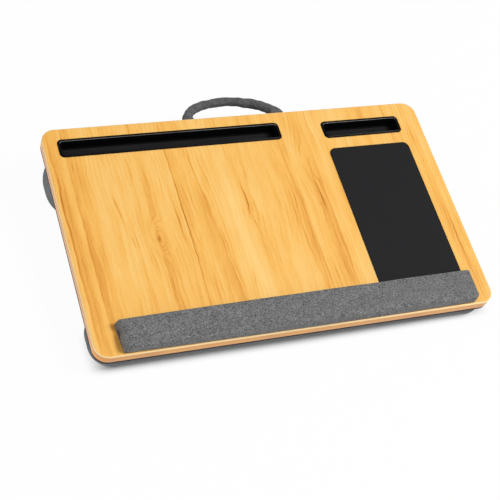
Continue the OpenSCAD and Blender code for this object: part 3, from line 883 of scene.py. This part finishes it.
class LAPDESK_OT_mouse_pad(bpy.types.Operator):
    """Builds the mouse pad's face and its rubber backing"""

    bl_idname = "lap_desk.mouse_pad"
    bl_label = "Mouse Pad"

    def execute(self, context):
        sizes = context.scene.lap_desk_sizes
        radii = [sizes.pad_radius] * 2 + [sizes.pad_front_radius] * 2
        undercut, border = 0.1 * MM, 3 * MM
        for name, node, finish, ease in (
            ("mouse_pad_skin", "mouse_pad_face", "pad_face", 0.45 * MM),
            ("mouse_pad_rubber", "mouse_pad_backing", "pad_rubber", 0.15 * MM),
        ):
            middle, half = middle_and_half(node)
            low, high = middle.z - half.z, middle.z + half.z
            profile = [(ease, low), (0, low + undercut)]
            profile += arc_profile((ease, high - ease), ease, 0, 90)
            profile += [(border, high)]
            rings = profile_rings(middle, half.xy, radii, profile, counts=(12, 24, 12))
            layer = add_loft(name, rings, finish)
            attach(layer, "desk")
            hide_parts(node)
        return {"FINISHED"}


class LAPDESK_OT_wrist_rest(bpy.types.Operator):
    """Builds the felt wrist rest and the strips that it stands on"""

    bl_idname = "lap_desk.wrist_rest"
    bl_label = "Wrist Rest"

    def execute(self, context):
        sizes = context.scene.lap_desk_sizes
        self.strip("wrist_rest_strip", "wrist_rest_base", "base_plastic")
        self.strip("wrist_rest_adhesive", "wrist_rest_tape", "tape")
        middle, half = middle_and_half("wrist_rest_cover")
        top = middle.z + half.z
        soft, crown, bulge = sizes.rest_shoulder, sizes.rest_crown, sizes.rest_bulge
        # Inset and level of the sides' points, from the foot up
        side = [(1.2 * MM, 0), (0.5 * MM, 1.2 * MM), (0.1 * MM, 3.5 * MM), (0, 6.5 * MM), (0.1 * MM, 9 * MM)]
        profile = side + arc_profile((soft + side[-1][0], top - crown - soft), soft, 12, 90, steps=6)
        straight = half.y - bulge
        spine, crown_rings = 2 * MM, 5
        for k in range(1, crown_rings + 1):
            share = k / crown_rings
            profile.append((soft + (straight - soft - spine) * share, top - crown * (1 - share) ** 2))
        radii = [4 * MM, 2.6 * MM, 3.4 * MM, 5.5 * MM]
        rings = profile_rings(middle, (half.x, straight), radii, profile, (7, 110, 10), draw_in=-bulge)
        rest = add_loft("wrist_rest_felt", rings, "rest_felt", sharp=80)
        inflate(rest, len(rings[0]), pressure=1.5, reach=0.5 * MM, spare=0.01)
        self.settle(rest, middle, half)
        subdivide(rest)
        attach(rest, "desk")
        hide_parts("wrist_rest_cover", "wrist_rest_foam")
        return {"FINISHED"}

    @staticmethod
    def strip(name, node, finish):
        """Thin plate under the foam, cut short at the folded ends."""
        cut, ease, corner = 4 * MM, 0.15 * MM, 4 * MM
        middle, half = middle_and_half(node)
        half.x -= cut
        low, high = middle.z - half.z, middle.z + half.z
        profile = [(ease, low), (0, low + ease), (0, high - ease), (ease, high)]
        rings = profile_rings(middle, half.xy, [corner] * 4, profile, counts=(6, 24, 2))
        plate = add_loft(name, rings, finish)
        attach(plate, "desk")
        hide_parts(node)

    def settle(self, rest, middle, half):
        """Tucks in both ends, leans the rear edge back and up towards the right, spreads the front foot, and
        leaves hand-made unevenness."""
        left, right = middle.x - half.x, middle.x + half.x
        end_reach, right_tuck, lean, rise = 9 * MM, 2 * MM, 2.8 * MM, 1.2 * MM
        spread, uneven = 2.2 * MM, 0.5 * MM
        for vertex in rest.data.vertices:
            p = TO_DECK @ vertex.co
            across = (p.y - middle.y) / half.y
            lift = max(p.z, 0) / (2 * half.z)
            p.x += bell(p.x - left, end_reach) * self.left_tuck(across, lift)
            p.x -= right_tuck * bell(p.x - right, end_reach)
            along = (p.x - left) / (2 * half.x)
            back = min(past(across, 0.4, 0.9), 1)
            p.y += lean * along * back * lift
            p.z += rise * along * (0.4 + 0.6 * back) * lift
            p.y -= spread * (1 - lift) * past(-across, 0.8, 1)
            # Waves per metre along and across the rest, and a third number that picks the pattern
            p.z += uneven * lift * noise.noise((p.x * 22, p.y * 30, 1.5))
            p.y += uneven * lift * noise.noise((p.x * 18, p.z * 60, 4.5))
            vertex.co = DECK @ p

    @staticmethod
    def left_tuck(across, lift):
        """How far the folded left end is tucked in, from across = -1 at the front to 1 at the back: more at
        a notch, less at the foot of the back corner, and most at the top of the front one."""
        fold = 1.3 * MM * min(past(across, 0.85, 0.45), 1)
        notch = 2.7 * MM * bell(across - 0.33, 0.16)
        ear = 1.8 * MM * bell(across - 0.85, 0.25)
        slope = 2.2 * MM + 2.6 * MM * past(-across, 0.75, 1)
        return fold + notch - ear + (slope + ear) * lift


class LAPDESK_OT_underside(bpy.types.Operator):
    """Builds the lining that wraps the backing, and the screws and washers under it"""

    bl_idname = "lap_desk.underside"
    bl_label = "Underside"

    def execute(self, context):
        dress("backing_board", "hem_staples", "handle_screws", "handle_washers")
        self.lining(context.scene.lap_desk_sizes)
        self.fasteners()
        return {"FINISHED"}

    def lining(self, sizes):
        middle, half = middle_and_half("underside_lining")
        low, high = middle.z - half.z, middle.z + half.z
        fold, cloth, hem_in, hem_down = 2.2 * MM, 0.8 * MM, 0.2 * MM, 0.6 * MM
        border, inner_border = 12 * MM, 40 * MM
        profile = [(hem_in, high), (0, high - hem_down)]
        profile += arc_profile((fold, low + fold), fold, 0, -90)
        profile += [(border, low), (inner_border, low)]
        setback = DECK_HALF.x - half.x
        radii = [sizes.corner_radius - setback] * 4
        rings = profile_rings(middle, half.xy, radii, profile, counts=(12, 40, 24))
        points = [p for ring in rings for p in ring]
        count = len(rings[0])
        faces = loft_faces(count, len(rings))
        cap = count // 2 - 1
        without_first_cap = faces[:-2 * cap] + faces[-cap:]
        lining = add_piece("lining_wrap", points, without_first_cap, "lining_fabric")
        thick = lining.modifiers.new("cloth", "SOLIDIFY")
        thick.thickness = cloth
        thick.offset = -1
        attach(lining, "desk")
        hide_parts("underside_lining")

    def fasteners(self):
        """Pan-head screws with cross recesses, on plain washers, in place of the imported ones."""
        spots = self.middles("base_screws")
        head_low, tip = (corner.z for corner in node_box("base_screws"))
        low, high = (corner.z for corner in node_box("base_washers"))
        for name, node, looped, turned in (
            ("base_screw_heads", "base_screws", False, [self.screw(at, head_low, low, tip) for at in spots]),
            ("base_washer_rings", "base_washers", True, [self.washer(at, low, high) for at in spots]),
        ):
            points, faces = [], []
            for rings in turned:
                start = len(points)
                points += [p for ring in rings for p in ring]
                made = loft_faces(len(rings[0]), len(rings), looped)
                faces += [tuple(start + i for i in face) for face in made]
            piece = add_piece(name, points, faces, "steel", sharp=32)
            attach(piece, "desk")
            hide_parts(node)

    @staticmethod
    def middles(node):
        """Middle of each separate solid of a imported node, seen from above."""
        solids = bmesh.new()
        solids.from_mesh(frame["nodes"][node].data)
        bmesh.ops.remove_doubles(solids, verts=solids.verts, dist=0.01 * MM)
        left = set(solids.verts)
        found = []
        while left:
            group, edge = set(), [left.pop()]
            while edge:
                vertex = edge.pop()
                group.add(vertex)
                near = {e.other_vert(vertex) for e in vertex.link_edges} & left
                left -= near
                edge += near
            spots = [TO_DECK @ v.co for v in group]
            found.append(Vector(sum(p[i] for p in spots) / len(spots) for i in range(2)))
        solids.free()
        return sorted(found, key=lambda p: (round(p.x, 4), round(p.y, 4)))

    @staticmethod
    def circle(at, radius, z, count=48):
        turns = [2 * math.pi * (k + 0.5) / count for k in range(count)]
        return [(at.x + radius * math.cos(w), at.y + radius * math.sin(w), z) for w in turns]

    def screw(self, at, head_low, seat, tip):
        """Rings from the tip along the thread to the seat, and over the domed head to its recess."""
        head, shank, dome = 3.2 * MM, 1.75 * MM, 0.7 * MM
        point, taper, runout, thread_drop = 0.3 * MM, 2 * MM, 0.5 * MM, 0.35 * MM
        root, threads, dome_rings, fullness, centre = 0.82 * shank, 9, 12, 0.8, 0.02 * MM
        rings = [self.circle(at, point, tip)]
        for k in range(threads):
            z = tip - taper - k * (tip - taper - runout - seat) / threads
            rings += [self.circle(at, shank, z), self.circle(at, root, z - thread_drop)]
        rings += [self.circle(at, shank, seat), self.circle(at, head, seat)]
        rings += [self.circle(at, head, head_low + dome)]
        for k in range(1, dome_rings + 1):
            turn = math.pi / 2 * k / dome_rings
            radius = head * math.cos(turn) ** fullness + centre
            z = head_low + dome * (1 - math.sin(turn))
            rings.append([self.recess(at, p, z) for p in self.circle(at, radius, z)])
        return rings

    @staticmethod
    def recess(at, point, z):
        """Sinks a point of the head that lies in the cross recess, less towards the recess's ends."""
        x, y = abs(point[0] - at.x), abs(point[1] - at.y)
        slot, reach, depth = 0.42 * MM, 1.7 * MM, 0.9 * MM
        sunk = min(x, y) < slot and max(x, y) < reach
        return point[0], point[1], z + (depth * (1 - 0.5 * max(x, y) / reach) if sunk else 0)

    def washer(self, at, low, high):
        """Rings round the section of a flat washer with eased edges."""
        outer, inner, ease = 4.8 * MM, 1.8 * MM, 0.12 * MM
        section = [
            (inner, low + ease), (inner + ease, low), (outer - ease, low), (outer, low + ease),
            (outer, high - ease), (outer - ease, high), (inner + ease, high), (inner, high - ease),
        ]
        return [self.circle(at, radius, z) for radius, z in section]


class LAPDESK_OT_bolsters(bpy.types.Operator):
    """Stuffs the two bolsters under the deck"""

    bl_idname = "lap_desk.bolsters"
    bl_label = "Bolsters"

    def execute(self, context):
        sizes = context.scene.lap_desk_sizes
        for name in ("rear", "front"):
            radius, shoulder, draw_in = (
                getattr(sizes, f"{name}_{size}") for size in ("radius", "shoulder", "draw_in")
            )
            self.bolster(name, sizes, radius, shoulder, draw_in)
        return {"FINISHED"}

    def bolster(self, name, sizes, radius, shoulder, draw_in):
        """Cushion from its sewn rim under the lining, over its widest part, to a base on the floor."""
        node = f"{name}_bolster_cover"
        dress(f"{name}_bolster_fill")
        middle, half = middle_and_half(node)
        slack, spine = 0.4 * MM, 3 * MM
        foot_angle, side_rings, base_rings = math.radians(60), 16, 6
        inner_half = half.x - slack, half.y - slack

        def ring(inset, share):
            made = []
            for x, y in outline(inner_half, [radius] * 4, inset, draw_in, counts=(9, 96, 5)):
                at_y = middle.y + y
                drop = floor_level(at_y) - LINING_BOTTOM
                made.append((middle.x + x, at_y, LINING_BOTTOM + drop * share))
            return made

        rings = []
        for k in range(side_rings + 1):
            w = -foot_angle + (math.pi / 2 + foot_angle) * k / side_rings
            foot = sizes.sewn_inset * (1 - math.cos(w)) / (1 - math.cos(foot_angle))
            inset = foot if w < 0 else shoulder * (1 - math.cos(w))
            share = (math.sin(w) + math.sin(foot_angle)) / (1 + math.sin(foot_angle))
            rings.append(ring(inset, share))
        flat = inner_half[1] - draw_in - shoulder - spine
        rings += [ring(shoulder + flat * k / base_rings, 1.0) for k in range(1, base_rings + 1)]
        cushion = add_loft(f"{name}_bolster_cushion", rings, "bolster_fabric", sharp=80)
        inflate(cushion, len(rings[0]), pressure=12.0, reach=sizes.swell, spare=0.03)
        self.gather(cushion)
        subdivide(cushion)
        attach(cushion, "desk")
        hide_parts(node, f"{name}_bolster_fill")

    @staticmethod
    def gather(cushion):
        """Small gathers below the sewn rim, and a flat base on whatever the desk stands on."""
        depth, reach, start = 0.9 * MM, 11 * MM, 2 * MM
        per_metre, slant = 95, 8
        normals = [v.normal.copy() for v in cushion.data.vertices]
        for vertex, normal in zip(cushion.data.vertices, normals):
            p = TO_DECK @ vertex.co
            below = LINING_BOTTOM - p.z
            near = math.exp(-below / reach) * min(below / start, 1)
            fold = noise.noise((p.x * per_metre, p.y * per_metre, below * slant))
            vertex.co += normal * (depth * near * fold)
            vertex.co.z = max(vertex.co.z, 0)


class LAPDESK_OT_handle(bpy.types.Operator):
    """Builds the padded fabric handle, sewn tabs and all, as one piece that bends at the deck's edge"""

    bl_idname = "lap_desk.handle"
    bl_label = "Handle"

    def execute(self, context):
        dress("handle_core")
        radius = context.scene.lap_desk_sizes.handle_radius
        rings = self.tab_rings(-1) + self.arch_rings(radius) + self.tab_rings(1)
        sleeve = add_loft("carry_handle", rings, "handle_fabric", matrix=Matrix.Identity(4), sharp=80)
        subdivide(sleeve)
        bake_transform(sleeve)
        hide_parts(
            "handle_sleeve", "handle_end_left", "handle_end_right", "handle_tab_left",
            "handle_tab_right",
        )
        return {"FINISHED"}

    @staticmethod
    def turns(sides=24):
        """Angles of the points round the sleeve."""
        return [2 * math.pi * (k + 0.5) / sides for k in range(sides)]

    def section(self, middle, side, up, half_width, half_depth, square):
        """Ring of a soft section: round when square is 2, and flatter with a higher power."""
        ring = []
        for w in self.turns():
            c, s = math.cos(w), math.sin(w)
            across = math.copysign(abs(c) ** (2 / square), c) * half_width
            over = math.copysign(abs(s) ** (2 / square), s) * half_depth
            ring.append(middle + side * across + up * over)
        return ring

    def tab_rings(self, which):
        """Flat tab from under the deck to the hinge line, at the left for -1 and the right for 1."""
        low, high = node_box("handle_tab_left" if which < 0 else "handle_tab_right")
        at_x, half_width = (low.x + high.x) / 2, (high.x - low.x) / 2
        turn = DECK.to_3x3()
        side = turn @ Vector((which, 0, 0))
        up = turn @ Vector((0, 0, 1))
        edge = DECK_MIDDLE.y + DECK_HALF.y
        # Place from front to back, share of the tab's width, and half thickness in mm
        stations = [
            (low.y, 1.0, 0.7), (edge - 6 * MM, 1.0, 0.7), (edge, 0.98, 0.8), (edge + 2.5 * MM, 0.93, 1.3),
            (edge + 5 * MM, 0.84, 2.3),
        ]
        rings = []
        for y, wide, depth in stations:
            middle = DECK @ Vector((at_x, y, HINGE.z))
            rings.append(self.section(middle, side, up, wide * half_width, depth * MM, square=3.2))
        return rings if which < 0 else rings[::-1]

    @staticmethod
    def arch_line(reach, steps=56):
        """Places and directions along an arch in the handle's plane, a Bezier curve with straight legs."""
        to_handle = HANDLE.inverted()
        left, right = (node_box(f"handle_end_{end}", to_handle) for end in ("left", "right"))
        foot = left[1].y
        first, last = (Vector(((low.x + high.x) / 2, foot)) for low, high in (left, right))
        lean = Vector((0.3 * (last.x - first.x) / 2, 0))
        rise = Vector((0, 4 / 3 * (reach - foot)))
        a, b, c, d = first, first + rise + lean, last + rise - lean, last
        leg = [0.4 * foot, 0.75 * foot]
        line = [(first.x, y, Vector((0, 1))) for y in leg]
        for k in range(steps + 1):
            t = k / steps
            u = 1 - t
            at = u ** 3 * a + 3 * u * u * t * b + 3 * u * t * t * c + t ** 3 * d
            way = u * u * (b - a) + 2 * u * t * (c - b) + t * t * (d - c)
            line.append((at.x, at.y, way.normalized()))
        return line + [(last.x, y, Vector((0, -1))) for y in reversed(leg)]

    def arch_rings(self, radius):
        """Padded tube along the arch, rounding off from the flat ends and wider on its right leg."""
        reach = node_box("handle_sleeve", HANDLE.inverted())[1].y - radius
        rounding, flare, flatness, widening = 14 * MM, 0.3, 0.55, 2.2 * MM
        turn = HANDLE.to_3x3()
        up = turn @ Vector((0, 0, 1))
        line = self.arch_line(reach)
        rings = []
        for k, (x, y, way) in enumerate(line):
            side = turn @ Vector((-way.y, way.x, 0))
            middle = HANDLE @ Vector((x, y, 0))
            end = min(y / rounding, 1)
            round_off = end * end * (3 - 2 * end)
            half_width = radius * (1 + flare * (1 - round_off))
            half_depth = radius * (flatness + (1 - flatness) * round_off)
            if way.y < 0:
                wider = widening * (1 - min(y / reach, 1) ** 4)
                half_width += wider
                middle -= side * wider
            ring = self.section(middle, side, up, half_width, half_depth, square=3 - round_off)
            rings.append([
                middle + (p - middle) * (1 + round_off * self.crumple(k / len(line), w))
                for p, w in zip(ring, self.turns())
            ])
        return rings

    @staticmethod
    def crumple(t, w):
        """Slanting creases and a slack swell along the sleeve, as a share of its radius."""
        twist = w + 9 * t
        crease = noise.noise((26 * t, 1.3 * math.cos(twist), 1.3 * math.sin(twist)))
        swell = noise.noise((9 * t, 0.8 * math.cos(w) + 5, 0.8 * math.sin(w)))
        return 0.18 * crease + 0.12 * swell


class LAPDESK_OT_stage(bpy.types.Operator):
    """Sets the floor, the light and the camera"""

    bl_idname = "lap_desk.stage"
    bl_label = "Stage"

    def execute(self, context):
        scene = context.scene
        stage = scene.lap_desk_stage
        scene.view_settings.view_transform = "Standard"
        self.floor(scene)
        self.camera(scene, stage)
        self.lamp(scene, "key_light", place=(2.0, -0.9, 3.2), side=1.4, power=stage.key)
        self.lamp(scene, "fill_light", place=(-1.6, -0.5, 0.6), side=1.2, power=stage.fill)
        scene.world = self.sky(stage.sky)
        return {"FINISHED"}

    def sky(self, strength):
        """Even light all round, that the camera sees as white."""
        shader = Shader("studio", "worlds")
        seen = shader.node("ShaderNodeLightPath", output="Is Camera Ray")
        light = shader.node("ShaderNodeBackground", None, {
            "Color": (1, 1, 1, 1), "Strength": strength + (1 - strength) * seen,
        })
        shader.node("ShaderNodeOutputWorld", None, {"Surface": light})
        return shader.material

    def floor(self, scene):
        """White floor that keeps the desk's shadow, and that can't be seen from below."""
        mesh = bpy.data.meshes.new("floor")
        reach = 12
        corners = [(-reach, -reach, 0), (reach, -reach, 0), (reach, reach, 0), (-reach, reach, 0)]
        mesh.from_pydata(corners, [], [(0, 1, 2, 3)])
        floor = bpy.data.objects.new("floor", mesh)
        scene.collection.objects.link(floor)
        shader = Shader("pale_floor")
        camera, glossy, transmission = (
            shader.node("ShaderNodeLightPath", output=f"Is {ray} Ray") for ray in
            ("Camera", "Glossy", "Transmission")
        )
        glow = shader.node("ShaderNodeEmission", None, {"Color": (1, 1, 1, 1), "Strength": 1.0})
        shadow = self.front_shadow(shader)
        matte = shader.node("ShaderNodeBsdfPrincipled", None, {
            "Base Color": shader.mix(shadow, (0.86,) * 3, (0.64,) * 3), "Roughness": 1.0,
            "Specular IOR Level": 0.0,
        })
        share = (0.96 - 0.92 * shadow) * (camera + glossy + transmission)
        top = shader.node("ShaderNodeMixShader", None, {0: share, 1: matte, 2: glow})
        clear = shader.node("ShaderNodeBsdfTransparent")
        below = shader.node("ShaderNodeNewGeometry", output="Backfacing")
        surface = shader.node("ShaderNodeMixShader", None, {0: below, 1: top, 2: clear})
        shader.node("ShaderNodeOutputMaterial", None, {"Surface": surface})
        mesh.materials.append(shader.material)

    @staticmethod
    def front_shadow(shader):
        """1 in the strip of floor along the front bolster where the shadow is deep, and 0 elsewhere."""
        place = shader.node("ShaderNodeTexCoord", output="Object")
        sideways = shader.along(place, "X")
        slant, left, right = 0.012, -DECK_HALF.x, DECK_HALF.x
        ahead = FRONT_FOOT + slant * sideways.over(0) - shader.along(place, "Y")
        strip = ahead.rise(6 * MM, -10 * MM) * ahead.rise(-70 * MM, -40 * MM)
        strip = strip * sideways.rise(right + 22 * MM, right - 12 * MM)
        return strip * sideways.rise(left - 6 * MM, left + 30 * MM)

    def camera(self, scene, stage):
        eye, target = Vector(stage.eye), Vector(stage.target)
        back = (eye - target).normalized()
        right = Vector(stage.level)
        right = (right - back * right.dot(back)).normalized()
        turn = Matrix((right, back.cross(right), back)).transposed().to_4x4()
        data = bpy.data.cameras.new("camera")
        data.lens = stage.lens
        data.sensor_width = 36
        camera = bpy.data.objects.new("camera", data)
        camera.matrix_world = DECK @ Matrix.Translation(eye) @ turn
        scene.collection.objects.link(camera)
        scene.camera = camera

    def lamp(self, scene, name, place, side, power):
        """Square lamp that faces the middle of the desk's footprint."""
        data = bpy.data.lights.new(name, "AREA")
        data.size = side
        data.energy = power
        lamp = bpy.data.objects.new(name, data)
        lamp.location = place
        lamp.rotation_euler = (-Vector(place)).to_track_quat("-Z", "Y").to_euler()
        scene.collection.objects.link(lamp)


class LAPDESK_PT_sidebar(bpy.types.Panel):
    """Lists the pieces of the lap desk"""

    bl_label = "Lap Desk"
    bl_idname = "LAPDESK_PT_sidebar"
    bl_space_type = "VIEW_3D"
    bl_region_type = "UI"
    bl_category = "Lap Desk"

    def draw(self, context):
        for step in STEPS:
            self.layout.operator(step.bl_idname)
        for settings in SETTINGS:
            box = self.layout.box()
            for name in SETTINGS[settings].__annotations__:
                box.prop(getattr(context.scene, settings), name)


STEPS = (
    LAPDESK_OT_stage, LAPDESK_OT_deck, LAPDESK_OT_trays, LAPDESK_OT_mouse_pad, LAPDESK_OT_wrist_rest,
    LAPDESK_OT_underside, LAPDESK_OT_bolsters, LAPDESK_OT_handle,
)
SETTINGS = {
    "lap_desk_sizes": LapDeskSizes, "lap_desk_colours": LapDeskColours, "lap_desk_stage": LapDeskStage,
}
CLASSES = (*SETTINGS.values(), *STEPS, LAPDESK_PT_sidebar)


def register():
    for made in CLASSES:
        bpy.utils.register_class(made)
    for name, group in SETTINGS.items():
        setattr(bpy.types.Scene, name, PointerProperty(type=group))


def unregister():
    for name in SETTINGS:
        delattr(bpy.types.Scene, name)
    for made in reversed(CLASSES):
        bpy.utils.unregister_class(made)


def main():
    register()
    make_materials(bpy.context.scene.lap_desk_colours)
    bpy.ops.lap_desk.stage()
    bpy.ops.lap_desk.deck()
    bpy.ops.lap_desk.trays()
    bpy.ops.lap_desk.mouse_pad()
    bpy.ops.lap_desk.wrist_rest()
    bpy.ops.lap_desk.underside()
    bpy.ops.lap_desk.bolsters()
    bpy.ops.lap_desk.handle()


if __name__ == "__main__":
    main()
